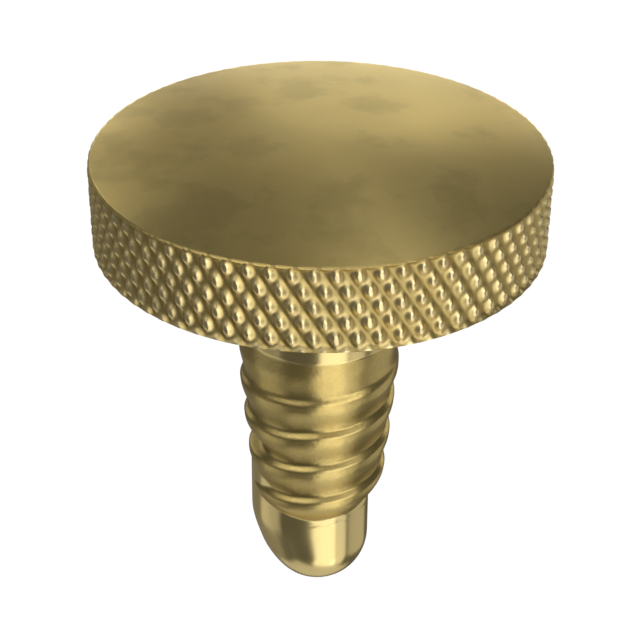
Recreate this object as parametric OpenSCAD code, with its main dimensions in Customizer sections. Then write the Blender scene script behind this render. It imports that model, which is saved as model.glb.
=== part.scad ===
// Knurled thumbscrew: a crowned disc head pressed onto a coarse round-threaded shank.
// The origin is on the axis, in the plane of the head's underside. +Z points up through the head.

/* [Head] */
// Diameter over the knurl points
head_d = 25.4; // [22:0.1:32]
// Height of the knurled rim
head_h = 4.9; // [4.5:0.1:7]
// Rise of the crowned face above the rim
crown_h = 0.8; // [0.3:0.1:1.6]
// Width of the bevel round each edge of the rim
bevel = 0.35; // [0.2:0.05:0.5]

/* [Knurl] */
// Number of points in one row round the rim
knurl_count = 71; // [48:1:80]
// Height of one knurl diamond
knurl_diamond_h = 1.8; // [1.4:0.05:2.2]
// Height of the lowest whole row of points above the head's underside
knurl_from = 0.75; // [0.3:0.05:1.2]
// Depth of the knurl
knurl_depth = 0.32; // [0.2:0.02:0.6]

/* [Shank] */
// Diameter of the plain shoulder under the head
shank_d = 9.5; // [9:0.1:11]
// Length of the plain shoulder
shoulder_h = 6; // [5.8:0.1:6.4]
// Length of the shank below the head
shank_l = 24.4; // [24.2:0.1:24.8]
// Diameter of the core and of the round nose
core_d = 6.3; // [6:0.1:6.6]

/* [Thread] */
// Distance between neighbouring turns, single start, right hand
pitch = 2.5; // [2.4:0.05:2.6]
// Depth of a full groove
groove_depth = 0.32; // [0.15:0.01:0.5]
// Radius that the thread loses to its taper
taper = 0.8; // [0.4:0.05:1]
// Height of the swelling on one side, where the thread starts out of the nose
start_swell = 0.9; // [0.4:0.05:1.1]

/* [Press joint] */
// Diameter of the spigot that is pressed into the head
spigot_d = 7; // [6:0.1:7.6]
// Length of the spigot
spigot_h = 3; // [2.4:0.1:3.2]
// Number of ribs that stop the spigot turning in the head
rib_count = 12; // [6:1:18]

/* [Hidden] */
$fn = 96;

brass = "#b89a55";

// Room above the spigot in its blind socket
socket_gap = 0.15;
// Half the side of a rib's square section
rib_half = 0.2;
// Shallow relief round the shank, so that only the flat face outside it clamps
relief_r = shank_d / 2 + 0.25;
relief_h = 0.2;
// The shoulder's narrower top, which stands on the floor of the relief
neck_r = shank_d / 2 - 0.25;

// Parts of one turn, from a groove's bottom: the ledge under it, the plain band, and the flank
ledge_end = 0.2;
band_end = 0.31;
// Places of the mesh rows in one turn
turn_rows = [0, 0.07, 0.13, 0.2, 0.31, 0.55, 0.75, 0.9];
rows_per_turn = len(turn_rows);
columns = 56;
// Depth at which the first groove's bottom passes the +X side
first_groove = 5.24;
// Mesh rows, from inside the shoulder to inside the nose
last_row = 7 * rows_per_turn + 4;

// The thread's crest stands this much inside the polished shoulder
shoulder_step = 0.05;
// The mesh sinks this much into the exact nose, so that the two cross cleanly
nose_sink = 0.04;
taper_from = 9;
taper_len = 9;
fade_in_len = 4;
run_out_from = 15.9;
run_out_len = 3;
swell_angle = 185;
swell_end = 23.2;
swell_len = 4.3;

head_r = head_d / 2;
shank_r = shank_d / 2;
core_r = core_d / 2;
spigot_r = spigot_d / 2;
nose_depth = shank_l - core_r;
crown_rim_r = head_r - bevel;
crown_r = (pow(crown_rim_r, 2) + pow(crown_h, 2)) / (2 * crown_h);

// How far a cutting or bounding shape reaches past the shape it works on
spare = 1;

// Smooth step from 0 to 1
function wave(x) = x <= 0 ? 0 : x >= 1 ? 1 : x * x * (3 - 2 * x);

function blend(a, b, x) = a * (1 - x) + b * x;

// Depth of the groove whose bottom lies this far under the head
function groove_at(depth) = groove_depth * wave((depth - shoulder_h) / fade_in_len);

// Radius of the tapered blank
function crest_at(depth) =
    shank_r - shoulder_step - taper * min(1, max(0, (depth - taper_from) / taper_len));

// Radius of the cut thread: a ledge below each groove, a plain band, and a flank down to the next groove
function thread_at(depth, phase) =
    let (above = depth - phase * pitch)
    let (below = above + pitch)
    let (flank = wave((phase - band_end) / (1 - band_end)))
    let (ledge = 1 - wave(phase / ledge_end))
    crest_at(depth) - groove_at(below) * flank - groove_at(above) * ledge;

// How much of the nose's radius is left at this depth: 1 on its cylinder, less on its round end
function nose_share(depth) =
    let (down = min(1, max(0, (depth - nose_depth) / core_r)))
    sqrt(1 - down * down);

// Swelling of the nose on the side where the thread starts
function swell_at(angle, depth) =
    start_swell * max(0, cos(angle - swell_angle)) * wave((swell_end - depth) / swell_len);

function shank_surface(angle, depth, phase) =
    let (nose = (core_r + swell_at(angle, depth)) * nose_share(depth) - nose_sink)
    blend(thread_at(depth, phase), nose, wave((depth - run_out_from) / run_out_len));

// Turns counted down the thread to a mesh row
function turns_at(row) = floor(row / rows_per_turn) + turn_rows[row % rows_per_turn];

function thread_point(row, column) =
    let (angle = 360 * column / columns)
    let (turns = turns_at(row))
    let (depth = first_groove + pitch * (turns - column / columns))
    let (r = shank_surface(angle, depth, turn_rows[row % rows_per_turn]))
    [r * cos(angle), r * sin(angle), -depth];

// A row that has gone once round meets the row one turn above it
function thread_id(row, column) =
    column < columns ? row * columns + column : (row - rows_per_turn) * columns;

module threaded_band() {
    points = [
        for (row = [0 : last_row], column = [0 : columns - 1]) thread_point(row, column),
        [0, 0, -first_groove / 2],
        [0, 0, -nose_depth],
    ];
    top_id = (last_row + 1) * columns;
    sides = [
        for (column = [0 : columns - 1])
        for (row = [(column == columns - 1 ? rows_per_turn : 0) : last_row - 1])
        for (half = [0, 1])
        half == 0
            ? [thread_id(row, column), thread_id(row, column + 1), thread_id(row + 1, column + 1)]
            : [thread_id(row, column), thread_id(row + 1, column + 1), thread_id(row + 1, column)]
    ];
    top_loop = [
        for (column = [0 : columns - 1]) thread_id(0, column),
        for (row = [1 : rows_per_turn]) thread_id(row, columns - 1),
    ];
    bottom_loop = [
        for (column = [0 : columns - 1]) thread_id(last_row, column),
        for (row = [last_row - rows_per_turn : last_row - 1]) thread_id(row, 0),
    ];
    top_fan = [
        for (k = [0 : len(top_loop) - 1]) [top_id, top_loop[(k + 1) % len(top_loop)], top_loop[k]]
    ];
    bottom_fan = [
        for (k = [0 : len(bottom_loop) - 1])
        [top_id + 1, bottom_loop[k], bottom_loop[(k + 1) % len(bottom_loop)]]
    ];
    polyhedron(points, concat(sides, top_fan, bottom_fan), convexity = 6);
}

// Round nose with its plain core, which the threaded band merges into
module nose() {
    translate([0, 0, -nose_depth]) cylinder(r = core_r, h = nose_depth - run_out_from);
    translate([0, 0, -nose_depth]) sphere(r = core_r);
}

// Ribbed spigot, standing on the plane of the head's underside and reaching a little below it
module spigot(height, reach) {
    translate([0, 0, -reach]) cylinder(r = spigot_r, h = height + reach);
    for (k = [0 : rib_count - 1])
        rotate([0, 0, 360 * k / rib_count])
        translate([spigot_r - rib_half / 2, 0, -reach])
        rotate([0, 0, 45])
        translate([-rib_half, -rib_half, 0])
        cube([2 * rib_half, 2 * rib_half, height + reach]);
}

function knurl_z(row) = knurl_from + (row / 2 - 1) * knurl_diamond_h;

// Corner of the diamond lattice, or the point of a diamond: those alternate along each row
function knurl_point(row, column) =
    let (angle = 180 * column / knurl_count)
    let (r = head_r - ((row + column) % 2 == 0 ? 0 : knurl_depth))
    [r * cos(angle), r * sin(angle), knurl_z(row)];

// Cylinder with crossed knurling, longer than the head's rim at both ends
module knurled_bar() {
    around = 2 * knurl_count;
    rows = ceil(2 * (head_h + crown_h) / knurl_diamond_h) + 3;
    points = [
        for (row = [0 : rows - 1], column = [0 : around - 1]) knurl_point(row, column),
        [0, 0, knurl_z(0)],
        [0, 0, knurl_z(rows - 1)],
    ];
    bottom_id = rows * around;
    // Each cell between four lattice nodes is folded along the line that joins its two low corners
    cells = [
        for (row = [0 : rows - 2], column = [0 : around - 1])
        let (a = row * around + column, b = row * around + (column + 1) % around)
        let (c = a + around, d = b + around)
        for (half = [0, 1])
        (row + column) % 2 == 0
            ? (half == 0 ? [a, c, b] : [b, c, d])
            : (half == 0 ? [a, d, b] : [a, c, d])
    ];
    ends = [
        for (column = [0 : around - 1])
        for (side = [0, 1])
        let (next = (column + 1) % around)
        side == 0
            ? [bottom_id, column, next]
            : [bottom_id + 1, (rows - 1) * around + next, (rows - 1) * around + column]
    ];
    polyhedron(points, concat(cells, ends), convexity = 4);
}

// Outline of the head: flat under, bevelled at both edges, crowned on top, clear of the knurl between
module head_envelope() {
    intersection() {
        rotate_extrude() polygon([
            [0, 0],
            [head_r - bevel, 0],
            [head_r, bevel],
            [head_r + spare, bevel],
            [head_r + spare, head_h - bevel],
            [head_r, head_h - bevel],
            [head_r - bevel, head_h],
            [head_r - bevel, head_h + crown_h],
            [0, head_h + crown_h + spare],
        ]);
        translate([0, 0, head_h + crown_h - crown_r]) sphere(r = crown_r, $fn = 4 * $fn);
    }
}

module knurled_head() {
    color(brass)
    difference() {
        intersection() {
            knurled_bar();
            head_envelope();
        }
        spigot(spigot_h + socket_gap, spare);
        translate([0, 0, -spare]) cylinder(r = relief_r, h = relief_h + spare);
    }
}

module threaded_shank() {
    color(brass) {
        spigot(spigot_h, shoulder_h / 2);
        cylinder(r = neck_r, h = relief_h);
        translate([0, 0, -shoulder_h]) cylinder(r = shank_r, h = shoulder_h);
        threaded_band();
        nose();
    }
}

knurled_head();
threaded_shank();
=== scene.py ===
import math

import bpy
import numpy as np
from mathutils import Matrix, Vector


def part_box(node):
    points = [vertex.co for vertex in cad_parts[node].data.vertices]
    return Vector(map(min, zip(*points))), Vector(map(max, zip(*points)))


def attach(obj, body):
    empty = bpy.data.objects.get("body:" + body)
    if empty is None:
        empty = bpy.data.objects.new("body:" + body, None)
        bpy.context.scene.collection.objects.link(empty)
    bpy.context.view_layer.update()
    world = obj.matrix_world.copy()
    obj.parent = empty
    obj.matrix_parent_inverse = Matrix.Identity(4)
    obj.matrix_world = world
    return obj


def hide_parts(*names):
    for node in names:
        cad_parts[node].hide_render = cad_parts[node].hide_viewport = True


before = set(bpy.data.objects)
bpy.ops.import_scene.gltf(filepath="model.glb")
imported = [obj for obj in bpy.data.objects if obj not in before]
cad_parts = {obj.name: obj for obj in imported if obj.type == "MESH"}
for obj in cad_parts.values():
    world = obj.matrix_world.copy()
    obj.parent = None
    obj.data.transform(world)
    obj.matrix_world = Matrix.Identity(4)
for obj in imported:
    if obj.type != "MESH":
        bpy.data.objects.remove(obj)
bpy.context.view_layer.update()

MM = 0.001

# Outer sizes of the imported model, in millimetres
head_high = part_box("knurled_head")[1] / MM
shank_low, shank_high = (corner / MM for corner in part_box("threaded_shank"))
HEAD_R = head_high.x
CROWN_TOP = head_high.z
SHANK_R = shank_high.x
SHANK_L = -shank_low.z
SPIGOT_TOP = shank_high.z

# Head: a crowned face, and a rim with small rounded edges
CROWN = 0.8
HEAD_H = CROWN_TOP - CROWN
BEVEL = 0.12
EDGE_ROUND = 0.03
FACE_R = HEAD_R - BEVEL

# Crossed knurling on the rim
KNURL_COUNT = 71
KNURL_H = 1.8
KNURL_FROM = 0.75
KNURL_DEPTH = 0.25
# Distance from each edge over which the knurl fades out, and how far along the fade an edge is
KNURL_FADE = 0.4
FADE_AT_EDGE = 0.1
# Share of a point's height that is left after wear, and how soft the worn edge is
KNURL_FLAT = 0.8
TIP_ROUND = 0.12
# Depth of the second set of grooves as a share of the first
KNURL_SHALLOW = 0.7
KNURL_UNEVEN = 0.1
UNEVEN_ROWS = 16
# Share of a point's height above which it is worn bright
WORN_FROM = 0.8
# Distance from the top edge over which the rim is darker and rougher, on its points as well as in its
# grooves
DARK_EDGE_BAND = 0.45
# Mesh columns across half a knurl diamond, and mesh rows up half of one
CELL = 8
# The lattice's rings stay this far from the rim's two edges
RIM_MARGIN = 0.03

# Joint under the head
SPIGOT_R = 3.5
SPIGOT_BEVEL = 0.15
RIB_COUNT = 12
RIB_H = 0.18
SOCKET_GAP = 0.15
SOCKET_TOP = SPIGOT_TOP + SOCKET_GAP
RELIEF_STEP = 0.25
RELIEF_R = SHANK_R + RELIEF_STEP
RELIEF_H = 0.2
NECK_R = SHANK_R - RELIEF_STEP

# Shank
SHOULDER_H = 6.0
SHOULDER_BLEND = 0.12
# The thread's crest stands this much inside the polished shoulder
SHOULDER_STEP = 0.05
PITCH = 2.5
GROOVE = 0.32
FADE_IN_LEN = 4.0
TAPER = 0.8
TAPER_FROM = 9.0
TAPER_LEN = 9.0
FIRST_GROOVE = 5.24
# Parts of one turn from a groove's bottom, as in the CAD: the ledge, then the plain band
LEDGE_END = 0.2
BAND_END = 0.31
CORE_R = 3.15
NOSE_DEPTH = SHANK_L - CORE_R
# Swelling of the nose on the side where the thread starts, and a nick above it
SWELL = 0.9
SWELL_SIDE = math.radians(185)
SWELL_END = 23.2
SWELL_LEN = 4.3
NICK = 0.75
NICK_DEPTH = 13.5
NICK_HALF_HEIGHT = 0.55
NICK_HALF_ANGLE = 0.49
# Where the thread falls away into the nose, and how soft the edge between them is
RUN_OUT = 16.15
RUN_OUT_TILT = 0.3
FALL = 0.8
FALL_LEN = 2.4
NOSE_FROM = 14.5
NOSE_BLEND = 0.08
NOSE_EDGE = 0.05
# Slight unevenness of the hand-finished thread
WOBBLE = 0.02
# Distance between mesh rings down the thread, and their turn in degrees round the nose's end
RING_STEP = 0.085
RING_TURN = 2.25


def wave(x):
    """Smooth step from 0 to 1."""
    x = np.clip(x, 0.0, 1.0)
    return x * x * (3 - 2 * x)


def soft_min(a, b, width):
    """The lower of a and b, rounded over a width where they cross."""
    h = np.clip(0.5 + 0.5 * (b - a) / width, 0.0, 1.0)
    return b + (a - b) * h - width * h * (1 - h)


def ripple(angle, depth, seed):
    """Slow unevenness of hand-finished metal, about -1 to 1, that closes round the axis."""
    waves = 14
    finest = 9
    rng = np.random.default_rng(seed)
    total = np.zeros(np.broadcast(angle, depth).shape)
    for _ in range(waves):
        turns = rng.integers(0, finest)
        rise = rng.uniform(-2.2, 2.2)
        phase = rng.uniform(0, 2 * math.pi)
        total = total + np.sin(turns * angle + rise * depth + phase)
    return total / math.sqrt(waves) / 1.5


# ---------------------------------------------------------------- meshes


def ring_faces(rows, columns, first=0, lean=False):
    """Two triangles for each cell between neighbouring rings. lean says which diagonal splits it."""
    row, column = np.mgrid[0 : rows - 1, 0:columns]
    lean = np.broadcast_to(lean, row.shape)
    a = first + row * columns + column
    b = first + row * columns + (column + 1) % columns
    c = a + columns
    d = b + columns
    one = np.where(lean[..., None], np.stack([a, c, d], -1), np.stack([a, c, b], -1))
    two = np.where(lean[..., None], np.stack([a, d, b], -1), np.stack([b, c, d], -1))
    return np.concatenate([one.reshape(-1, 3), two.reshape(-1, 3)])


def fan(centre, first, columns, flip):
    """Triangles from one vertex to a ring of vertices."""
    column = np.arange(columns)
    here = first + column
    there = first + (column + 1) % columns
    corners = (here, there) if flip else (there, here)
    return np.stack([np.full(columns, centre), *corners], -1)


def seam(coarse, coarse_columns, fine, fine_columns, flip):
    """Triangles between a ring of few vertices and a ring of many."""
    per = fine_columns // coarse_columns
    faces = []
    for j in range(coarse_columns):
        here = coarse + j
        there = coarse + (j + 1) % coarse_columns
        mine = [fine + (j * per + k) % fine_columns for k in range(per + 1)]
        middle = per // 2
        faces += [(here, mine[k], mine[k + 1]) for k in range(middle)]
        faces += [(there, mine[k], mine[k + 1]) for k in range(middle, per)]
        faces.append((here, mine[middle], there))
    faces = np.array(faces)
    return faces[:, ::-1] if flip else faces


def ring_points(radius, height):
    columns = radius.shape[1]
    angle = 2 * math.pi * np.arange(columns) / columns
    points = np.stack([radius * np.cos(angle), radius * np.sin(angle), height], -1)
    return points.reshape(-1, 3)


def make_piece(name, points, faces, layers, sharp_angle):
    """A piece from points in millimetres, with point attributes."""
    mesh = bpy.data.meshes.new(name)
    mesh.from_pydata((points * MM).tolist(), [], faces.tolist())
    mesh.shade_smooth()
    mesh.set_sharp_from_angle(angle=math.radians(sharp_angle))
    for layer, values in layers.items():
        attribute = mesh.attributes.new(layer, "FLOAT", "POINT")
        attribute.data.foreach_set("value", values.astype(np.float32))
    mesh.update()
    piece = bpy.data.objects.new(name, mesh)
    bpy.context.scene.collection.objects.link(piece)
    return piece


def ribs(angle):
    """Height of the spigot's ribs round the axis."""
    step = 2 * math.pi / RIB_COUNT
    off_centre = np.abs((angle + step / 2) % step - step / 2) * SPIGOT_R
    return np.maximum(0.0, RIB_H - off_centre)


def bulge(x):
    """Smooth hump: 0 at every whole number, 1 halfway between them."""
    return 0.5 - 0.5 * np.cos(2 * math.pi * x)


def knurl_share(angle, z):
    """Height of the knurl, from 0 in a groove to about 1 on a point, a little uneven from point to point."""
    across = angle * KNURL_COUNT / (2 * math.pi)
    up = (z - KNURL_FROM) / KNURL_H
    steep = across + up + 0.5
    other = across - up + 0.5
    rng = np.random.default_rng(11)
    uneven = rng.uniform(1 - KNURL_UNEVEN, 1 + KNURL_UNEVEN, (KNURL_COUNT, UNEVEN_ROWS))
    tooth = np.floor(other).astype(int) % KNURL_COUNT
    row = (np.floor(steep) - np.floor(other)).astype(int) % UNEVEN_ROWS
    notch = 1 - KNURL_SHALLOW * (1 - bulge(other))
    rise = bulge(steep) * notch / KNURL_FLAT * uneven[tooth, row]
    return soft_min(rise, 1.0, TIP_ROUND)


def crown_height(r):
    """Height of the crowned face at a radius."""
    crown_r = (FACE_R**2 + CROWN**2) / (2 * CROWN)
    return CROWN_TOP - crown_r + np.sqrt(crown_r**2 - r**2)


def rim_heights():
    """Heights of the rings down the knurled rim, on the knurl's own lattice."""
    step = KNURL_H / 2 / CELL
    lowest = math.ceil((RIM_MARGIN - KNURL_FROM) / step)
    highest = math.floor((HEAD_H - RIM_MARGIN - KNURL_FROM) / step)
    heights = KNURL_FROM + step * np.arange(lowest, highest + 1)
    return np.concatenate([[HEAD_H], heights[::-1], [0.0]])


def knurled_rim():
    """Radius, height and knurl height of the rings down the rim."""
    columns = 2 * CELL * KNURL_COUNT
    angle = 2 * math.pi * np.arange(columns) / columns
    z = rim_heights()[:, None]
    edge = np.minimum(HEAD_H - z, z)
    inside = np.clip(1 - edge / BEVEL, 0, 1)
    envelope = HEAD_R - BEVEL * (1 - np.sqrt(1 - inside**2))
    share = knurl_share(angle[None, :], z)
    depth = KNURL_DEPTH * wave(edge / KNURL_FADE + FADE_AT_EDGE)
    radius = soft_min(HEAD_R - depth * (1 - share), envelope, EDGE_ROUND)
    height = z + 0 * radius
    height[0] = crown_height(radius[0])
    return radius, height, share


def knurled_disc():
    """The head: crowned face, knurled rim, flat underside with a relief, and the ribbed socket."""
    rim_r, rim_z, share = knurled_rim()
    fine = rim_r.shape[1]
    coarse = 2 * KNURL_COUNT
    flat = np.ones(coarse)
    # Rings of the face, closer together where it turns over into the rim
    face_r = np.array([0.6, 1.6, 3, 4.5, 6, 7.5, 9, 10.2, 11.2, 11.9, 12.3, 12.5])
    angle = 2 * math.pi * np.arange(coarse) / coarse
    # Rings of the underside and the socket: radius, height, and whether the ribs are cut into it
    inner = [
        (12.0, 0.0, False),
        (11.0, 0.0, False),
        (8.0, 0.0, False),
        (RELIEF_R + 0.06, 0.0, False),
        (RELIEF_R, 0.06, False),
        (RELIEF_R, RELIEF_H, False),
        (NECK_R, RELIEF_H, False),
        (SPIGOT_R, RELIEF_H, True),
        (SPIGOT_R, SOCKET_TOP, True),
        (1.5, SOCKET_TOP, False),
    ]
    under_r = np.array([r * flat + (ribs(angle) if ribbed else 0) for r, _, ribbed in inner])
    under_z = np.array([h * flat for _, h, _ in inner])
    face = np.outer(face_r, flat)
    points = [
        ring_points(face, crown_height(face)),
        ring_points(rim_r, rim_z),
        ring_points(under_r, under_z),
        np.array([[0, 0, CROWN_TOP], [0, 0, SOCKET_TOP]]),
    ]
    rim_at = face.size
    under_at = rim_at + rim_r.size
    ends_at = under_at + under_r.size
    middle = (rim_z[:-1] + rim_z[1:]) / 2 - KNURL_FROM
    cell_row = np.floor(2 * middle / KNURL_H).astype(int)
    cell_column = np.arange(fine) // CELL
    lean = (cell_row + cell_column) % 2 == 0
    faces = [
        fan(ends_at, 0, coarse, True),
        ring_faces(len(face), coarse),
        seam(rim_at - coarse, coarse, rim_at, fine, False),
        ring_faces(len(rim_r), fine, rim_at, lean),
        seam(under_at, coarse, under_at - fine, fine, True),
        ring_faces(len(under_r), coarse, under_at),
        fan(ends_at + 1, ends_at - coarse, coarse, False),
    ]
    # Darker and rougher in the grooves, where patina sits, and over the whole band near the top edge
    dark_groove_and_edge = 1 - share * wave((HEAD_H - rim_z) / DARK_EDGE_BAND)
    worn = (share - WORN_FROM) / (1 - WORN_FROM)
    zone = np.ones_like(share)
    zone[[0, -1]] = 0
    before = np.zeros(face.size)
    after = np.zeros(under_r.size + 2)
    layers = {
        "cavity": np.concatenate([before, np.clip(dark_groove_and_edge, 0, 1).ravel(), after]),
        "worn": np.concatenate([before, np.clip(worn, 0, 1).ravel(), after]),
        "knurl": np.concatenate([before, zone.ravel(), after]),
    }
    return make_piece("knurled_disc", np.concatenate(points), np.concatenate(faces), layers, 50)


def groove_at(depth):
    """Depth of a groove, which grows over the first turns."""
    return GROOVE * wave((depth - SHOULDER_H) / FADE_IN_LEN)


def blank_at(depth):
    """Radius of the tapered blank that the thread is cut in."""
    return SHANK_R - SHOULDER_STEP - TAPER * np.clip((depth - TAPER_FROM) / TAPER_LEN, 0, 1)


def thread_radius(angle, depth):
    """Radius of the cut thread, and its share of a groove: 0 on the band, 1 at a groove's bottom."""
    turns = (depth - FIRST_GROOVE) / PITCH + angle / (2 * math.pi)
    turns = turns + WOBBLE * ripple(angle, depth * 0.6, 5)
    phase = turns - np.floor(turns)
    flank = wave((phase - BAND_END) / (1 - BAND_END))
    ledge = 1 - wave(phase / LEDGE_END)
    share = np.maximum(flank, ledge)
    above = depth - phase * PITCH
    cut = groove_at(above + PITCH) * flank + groove_at(above) * ledge
    return blank_at(depth) - cut, share * groove_at(depth) / GROOVE


def nose_radius(angle, depth):
    """Radius of the plain nose with its swelling on one side."""
    down = np.clip((depth - NOSE_DEPTH) / CORE_R, 0, 1)
    side = np.maximum(0, np.cos(angle - SWELL_SIDE)) ** 2
    swell = SWELL * side * wave((SWELL_END - depth) / SWELL_LEN)
    return (CORE_R + swell) * np.sqrt(np.maximum(0.0, 1 - down * down))


def shank_radius(angle, depth):
    """Radius of the shank below the head, its share of a groove, and 1 where it is polished."""
    thread, share = thread_radius(angle, depth)
    off_side = (angle - SWELL_SIDE + math.pi) % (2 * math.pi) - math.pi
    across = off_side / NICK_HALF_ANGLE
    down = (depth - NICK_DEPTH) / NICK_HALF_HEIGHT
    nick = NICK * np.exp(-(across**2) - down**2)
    run_out = RUN_OUT - RUN_OUT_TILT * (np.cos(angle) + np.sin(angle))
    fall = FALL * (np.maximum(0, depth - run_out) / FALL_LEN) ** 2
    thread = thread - fall - nick + WOBBLE * ripple(angle, depth, 3)
    nose = nose_radius(angle, depth)
    on_nose = np.where(depth > NOSE_FROM, wave(0.5 + (nose - thread) / NOSE_EDGE), 0.0)
    radius = np.where(depth > NOSE_FROM, -soft_min(-thread, -nose, NOSE_BLEND), thread)
    on_shoulder = wave((SHOULDER_H - depth) / SHOULDER_BLEND)
    radius = radius * (1 - on_shoulder) + SHANK_R * on_shoulder
    polish = np.maximum(on_shoulder, on_nose)
    return np.minimum(radius, SHANK_R), share * (1 - polish), polish


def threaded_screw():
    """The shank: ribbed spigot, neck, polished shoulder, rounded thread and round nose."""
    columns = 360
    angle = 2 * math.pi * np.arange(columns) / columns
    flat = np.ones(columns)
    # Rings from the spigot's end to the shoulder: radius, height, and whether the ribs stand on it
    top = [
        (1.5, SPIGOT_TOP, False),
        (SPIGOT_R - SPIGOT_BEVEL, SPIGOT_TOP, True),
        (SPIGOT_R, SPIGOT_TOP - SPIGOT_BEVEL, True),
        (SPIGOT_R, 1.5, True),
        (SPIGOT_R, RELIEF_H, True),
        (NECK_R, RELIEF_H, False),
        (NECK_R, 0.1, False),
        (NECK_R + 0.02, 0.0, False),
        (SHANK_R - 0.06, 0.0, False),
    ]
    radius = [r * flat + (ribs(angle) if ribbed else 0) for r, _, ribbed in top]
    height = [h * flat for _, h, _ in top]
    depths = np.concatenate(
        [
            [0.06, 1.0, 2.5, 4.0, 5.0, 5.6, 5.8],
            np.arange(5.86, NOSE_DEPTH, RING_STEP),
            NOSE_DEPTH + CORE_R * np.sin(np.radians(np.arange(0, 89.1, RING_TURN))),
        ]
    )
    outer, share, polish = shank_radius(angle[None, :], depths[:, None])
    radius = np.concatenate([radius, outer])
    height = np.concatenate([height, -depths[:, None] * flat])
    ends = np.array([[0, 0, SPIGOT_TOP], [0, 0, -SHANK_L]])
    faces = [
        fan(radius.size, 0, columns, True),
        ring_faces(len(radius), columns),
        fan(radius.size + 1, radius.size - columns, columns, False),
    ]
    hidden = np.zeros(len(top) * columns)
    tip = np.zeros(2)
    layers = {
        "cavity": np.concatenate([hidden, share.ravel(), tip]),
        "polish": np.concatenate([hidden, polish.ravel(), tip + 1]),
    }
    points = np.concatenate([ring_points(radius, height), ends])
    return make_piece("threaded_screw", points, np.concatenate(faces), layers, 40)


# ---------------------------------------------------------------- materials


class Tree:
    """Short calls for building one node material."""

    def __init__(self, name):
        self.material = bpy.data.materials.new(name)
        self.material.use_nodes = True
        self.nodes = self.material.node_tree.nodes
        self.links = self.material.node_tree.links
        self.shader = self.nodes["Principled BSDF"]
        self.shader.inputs["Specular Tint"].default_value = (1.0, 0.94, 0.78, 1)

    def add(self, kind, inputs=None, **settings):
        node = self.nodes.new(kind)
        for key, value in settings.items():
            setattr(node, key, value)
        for key, value in (inputs or {}).items():
            self.put(node.inputs[key], value)
        return node

    def put(self, socket, value):
        """Links an output to a socket, or sets the socket's own value."""
        if isinstance(value, bpy.types.NodeSocket):
            self.links.new(value, socket)
        else:
            socket.default_value = value

    def math(self, operation, a, b):
        return self.add("ShaderNodeMath", {0: a, 1: b}, operation=operation).outputs[0]

    def spread(self, value, low, high, to_low=0.0, to_high=1.0):
        """Maps low to high onto to_low to to_high, and holds the ends."""
        inputs = {"Value": value, 1: low, 2: high, 3: to_low, 4: to_high}
        return self.add("ShaderNodeMapRange", inputs, clamp=True).outputs[0]

    def mix(self, share, a, b):
        """Blends two colours, which the node takes at sockets 6 and 7."""
        node = self.add("ShaderNodeMix", data_type="RGBA")
        self.put(node.inputs[0], share)
        self.put(node.inputs[6], a)
        self.put(node.inputs[7], b)
        return node.outputs[2]

    def layer(self, name):
        """A point attribute of the mesh."""
        return self.add("ShaderNodeAttribute", attribute_name=name).outputs["Fac"]

    def place(self):
        return self.add("ShaderNodeTexCoord").outputs["Object"]

    def noise(self, vector, scale, detail):
        inputs = {"Vector": vector, "Scale": scale, "Detail": detail, "Roughness": 0.55}
        return self.add("ShaderNodeTexNoise", inputs).outputs["Fac"]

    def lathe_lines(self, axis_value, scale):
        """Streaks that depend on one value only, such as the radius on a turned face."""
        inputs = {"W": self.math("MULTIPLY", axis_value, scale), "Scale": 1.0, "Detail": 1.0}
        return self.add("ShaderNodeTexNoise", inputs, noise_dimensions="1D").outputs["Fac"]

    def bump(self, height, distance, normal=None):
        inputs = {"Height": height, "Distance": distance, "Strength": 1.0}
        if normal is not None:
            inputs["Normal"] = normal
        return self.add("ShaderNodeBump", inputs).outputs["Normal"]

    def around_axis(self):
        """Direction round the part's axis, which the tool marks follow."""
        return self.add("ShaderNodeTangent", direction_type="RADIAL", axis="Z").outputs[0]


# Roughness of the face, rim and thread stays above 0.28 and that of the nose below 0.26, because the
# denoiser treats metal below about 0.27 as a mirror and draws an edge where a surface crosses it
BRASS = (0.74, 0.56, 0.20, 1)
BRASS_OLIVE = (0.66, 0.52, 0.20, 1)
BRASS_WORN = (0.88, 0.72, 0.38, 1)
PATINA = (0.24, 0.17, 0.055, 1)


def turned_brass():
    """Satin face of the head: broad faint rings from turning, and blotches of tarnish."""
    t = Tree("turned_brass")
    place = t.place()
    flat = t.add("ShaderNodeVectorMath", {0: place, 1: (1, 1, 0)}, operation="MULTIPLY").outputs[0]
    radius = t.add("ShaderNodeVectorMath", {0: flat}, operation="LENGTH").outputs["Value"]
    broad = t.lathe_lines(radius, 420)
    cloud = t.noise(place, 130, 3)
    stain = t.noise(place, 240, 5)
    tint = t.mix(t.spread(cloud, 0.35, 0.68), BRASS, BRASS_OLIVE)
    tint = t.mix(t.spread(stain, 0.50, 0.60, 0, 0.2), tint, PATINA)
    t.put(t.shader.inputs["Base Color"], tint)
    rough = t.math("ADD", t.spread(broad, 0.3, 0.7, 0.285, 0.3), t.spread(stain, 0.3, 0.7, 0, 0.03))
    t.put(t.shader.inputs["Roughness"], rough)
    t.put(t.shader.inputs["Metallic"], 1.0)
    t.put(t.shader.inputs["Anisotropic"], 0.4)
    t.put(t.shader.inputs["Anisotropic Rotation"], 0.25)
    t.put(t.shader.inputs["Tangent"], t.around_axis())
    return t.material


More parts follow.
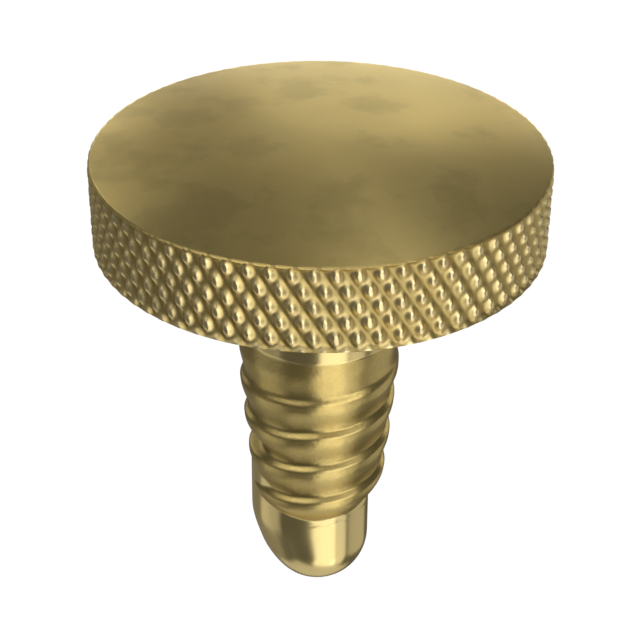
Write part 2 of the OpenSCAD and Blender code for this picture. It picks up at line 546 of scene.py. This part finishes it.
def knurled_brass():
    """Rim of the head: bright worn points and darker, duller grooves."""
    t = Tree("knurled_brass")
    place = t.place()
    cavity = t.layer("cavity")
    worn = t.layer("worn")
    cloud = t.noise(place, 300, 4)
    grain = t.noise(place, 6500, 3)
    tint = t.mix(t.spread(cloud, 0.35, 0.68), BRASS, BRASS_OLIVE)
    # The cavity layer is high in the grooves and in the band along the top edge: there the rim is darker and
    # rougher and shows no worn brass
    tint = t.mix(t.spread(cavity, 0.3, 0.95, 0.7, 0), tint, BRASS_WORN)
    tint = t.mix(t.spread(cavity, 0.4, 0.95, 0, 0.45), tint, PATINA)
    tint = t.mix(t.math("MULTIPLY", worn, 0.5), tint, BRASS_WORN)
    t.put(t.shader.inputs["Base Color"], tint)
    rough = t.math("ADD", t.spread(cavity, 0.1, 0.9, 0.305, 0.4), t.spread(grain, 0.3, 0.7, 0, 0.06))
    t.put(t.shader.inputs["Roughness"], t.math("SUBTRACT", rough, t.math("MULTIPLY", worn, 0.025)))
    t.put(t.shader.inputs["Normal"], t.bump(grain, 0.003 * MM))
    t.put(t.shader.inputs["Metallic"], 1.0)
    return t.material


def shank_brass():
    """Shank: satin aged thread with dark grooves, and a polished shoulder and nose."""
    t = Tree("shank_brass")
    place = t.place()
    cavity = t.layer("cavity")
    polish = t.layer("polish")
    z = t.add("ShaderNodeSeparateXYZ", {0: place}).outputs["Z"]
    lines = t.lathe_lines(z, 9000)
    cloud = t.noise(place, 320, 4)
    grain = t.noise(place, 4200, 4)
    tint = t.mix(t.spread(cloud, 0.35, 0.68), BRASS, BRASS_OLIVE)
    stain = t.math("MULTIPLY", t.spread(cavity, 0.35, 1.0, 0.28, 0.5), t.spread(grain, 0.2, 0.6, 0.6, 1))
    stain = t.math("MULTIPLY", stain, t.math("SUBTRACT", 1.0, polish))
    tint = t.mix(stain, tint, PATINA)
    tint = t.mix(t.math("MULTIPLY", polish, 0.38), tint, BRASS_WORN)
    t.put(t.shader.inputs["Base Color"], tint)
    satin = t.math("ADD", t.spread(grain, 0.3, 0.7, 0.285, 0.33), t.spread(lines, 0.3, 0.7, 0, 0.03))
    smooth = t.spread(lines, 0.3, 0.7, 0.2, 0.235)
    rough = t.add("ShaderNodeMix", {0: polish, 2: satin, 3: smooth}, data_type="FLOAT")
    t.put(t.shader.inputs["Roughness"], rough.outputs[0])
    dull = t.math("SUBTRACT", 1.0, polish)
    pitted = t.bump(t.math("MULTIPLY", grain, dull), 0.012 * MM)
    t.put(t.shader.inputs["Normal"], t.bump(lines, 0.0008 * MM, pitted))
    t.put(t.shader.inputs["Metallic"], 1.0)
    t.put(t.shader.inputs["Anisotropic"], 0.5)
    t.put(t.shader.inputs["Anisotropic Rotation"], 0.25)
    t.put(t.shader.inputs["Tangent"], t.around_axis())
    return t.material


def paint_head(piece):
    """The rim gets the knurled material, and the face, underside and socket the turned one."""
    piece.data.materials.append(turned_brass())
    piece.data.materials.append(knurled_brass())
    mesh = piece.data
    on_rim = np.zeros(len(mesh.vertices), np.float32)
    mesh.attributes["knurl"].data.foreach_get("value", on_rim)
    corners = np.zeros(len(mesh.loops), np.int32)
    mesh.loops.foreach_get("vertex_index", corners)
    rim_face = on_rim[corners].reshape(-1, 3).max(1) > 0.5
    mesh.polygons.foreach_set("material_index", rim_face.astype(np.int32))
    mesh.attributes.remove(mesh.attributes["knurl"])


# ---------------------------------------------------------------- stage


def stage_camera():
    """Camera at the reference view: 32 degrees above level, aimed below the head."""
    pitch = math.radians(31.96)
    roll = math.radians(-0.6)
    aim = Vector((0.05, 0, -5.91)) * MM
    away = 95.36 * MM
    forward = Vector((0, math.cos(pitch), -math.sin(pitch)))
    data = bpy.data.cameras.new("camera")
    data.sensor_width = 36
    data.lens = 92.39
    data.clip_start = 0.005
    data.clip_end = 5
    camera = bpy.data.objects.new("camera", data)
    turn = forward.to_track_quat("-Z", "Y").to_matrix()
    camera.matrix_world = Matrix.Translation(aim - forward * away) @ (
        turn @ Matrix.Rotation(-roll, 3, "Z")
    ).to_4x4()
    bpy.context.scene.collection.objects.link(camera)
    bpy.context.scene.camera = camera


def stage_floor():
    """Plain white light table under the nose. Seen from below it is clear, so that it hides nothing."""
    mesh = bpy.data.meshes.new("floor")
    half = 1.5
    z = shank_low.z * MM
    corners = [(-half, -half, z), (half, -half, z), (half, half, z), (-half, half, z)]
    mesh.from_pydata(corners, [], [(0, 1, 2, 3)])
    floor = bpy.data.objects.new("floor", mesh)
    bpy.context.scene.collection.objects.link(floor)
    t = Tree("pale_floor")
    t.put(t.shader.inputs["Base Color"], (0.05, 0.05, 0.05, 1))
    t.put(t.shader.inputs["Roughness"], 1.0)
    t.put(t.shader.inputs["Specular IOR Level"], 0.0)
    t.put(t.shader.inputs["Emission Color"], (1, 1, 1, 1))
    t.put(t.shader.inputs["Emission Strength"], 1.0)
    back = t.add("ShaderNodeNewGeometry").outputs["Backfacing"]
    t.put(t.shader.inputs["Alpha"], t.math("SUBTRACT", 1.0, back))
    mesh.materials.append(t.material)
    floor.visible_glossy = False
    floor.visible_diffuse = False
    floor.visible_shadow = False


# Softboxes round the object: name, azimuth from the camera's side, elevation, width, height, radiance
PANELS = [
    ("backdrop", 180, -2, 30, 18, 2.8),
    ("backdrop_top", 177, 20, 14, 9, 1.4),
    ("back_right", 162, 8, 9, 14, 2.7),
    ("back_left", -162, 10, 8, 12, 3.6),
    ("left_back", -154, 32, 9, 14, 1.9),
    ("top_back", 171, 52, 6, 18, 1.4),
    ("left_wing", -135, 2, 30, 20, 0.6),
    ("right_wing", 135, 2, 30, 20, 1.0),
    ("top_front", 0, 60, 90, 28, 1.3),
    ("ceiling", 0, 88, 50, 50, 0.5),
    ("front_left", -50, 40, 60, 36, 0.9),
    ("key", 21, -38, 32, 50, 1.38),
    ("key_side", 56, -46, 20, 32, 0.85),
    ("key_high", 30, 4, 54, 34, 1.9),
    ("right", 105, -32, 46, 34, 0.45),
    ("left", -85, -10, 40, 20, 0.14),
    ("table_left", -120, -50, 60, 30, 0.14),
    ("table", 0, -88, 50, 50, 0.55),
]
AMBIENT = 0.11
# Distances of the softboxes and of the card, in metres
PANEL_AWAY = 0.6
CARD_AWAY = 0.06


def softbox(name, azimuth, elevation, width, height, radiance, centre, away):
    """Flat light that fills width by height degrees, seen from a centre that it faces."""
    data = bpy.data.lights.new(name, "AREA")
    data.shape = "RECTANGLE"
    data.size = 2 * away * math.tan(math.radians(width / 2))
    data.size_y = 2 * away * math.tan(math.radians(height / 2))
    data.energy = math.pi * data.size * data.size_y * radiance
    light = bpy.data.objects.new(name, data)
    light.visible_camera = False
    a = math.radians(azimuth)
    e = math.radians(elevation)
    way = Vector((math.sin(a) * math.cos(e), -math.cos(a) * math.cos(e), math.sin(e)))
    turn = way.to_track_quat("Z", "Y").to_matrix()
    light.matrix_world = Matrix.Translation(centre + way * away) @ turn.to_4x4()
    bpy.context.scene.collection.objects.link(light)


def stage_panels():
    """The softboxes, and a small card close to the nose that lights its left side only."""
    for panel in PANELS:
        softbox(*panel, Vector((0, 0, 0)), PANEL_AWAY)
    nose = Vector((0, 0, -NOSE_DEPTH)) * MM
    softbox("nose_card", -77, -32, 42, 26, 0.42, nose, CARD_AWAY)


def stage_room():
    """A dim room that the camera sees as plain white."""
    world = bpy.data.worlds.new("studio")
    bpy.context.scene.world = world
    world.use_nodes = True
    nodes = world.node_tree.nodes
    links = world.node_tree.links
    seen = nodes.new("ShaderNodeLightPath").outputs["Is Camera Ray"]
    level = nodes.new("ShaderNodeMapRange")
    level.inputs["To Min"].default_value = AMBIENT
    level.inputs["To Max"].default_value = 1.0
    links.new(seen, level.inputs["Value"])
    nodes["Background"].inputs["Color"].default_value = (1, 1, 1, 1)
    links.new(level.outputs[0], nodes["Background"].inputs["Strength"])
    bpy.context.scene.view_settings.view_transform = "Standard"


stage_camera()
stage_floor()
stage_panels()
stage_room()

head = knurled_disc()
paint_head(head)
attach(head, "root")
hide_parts("knurled_head")

shank = threaded_screw()
shank.data.materials.append(shank_brass())
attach(shank, "root")
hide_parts("threaded_shank")
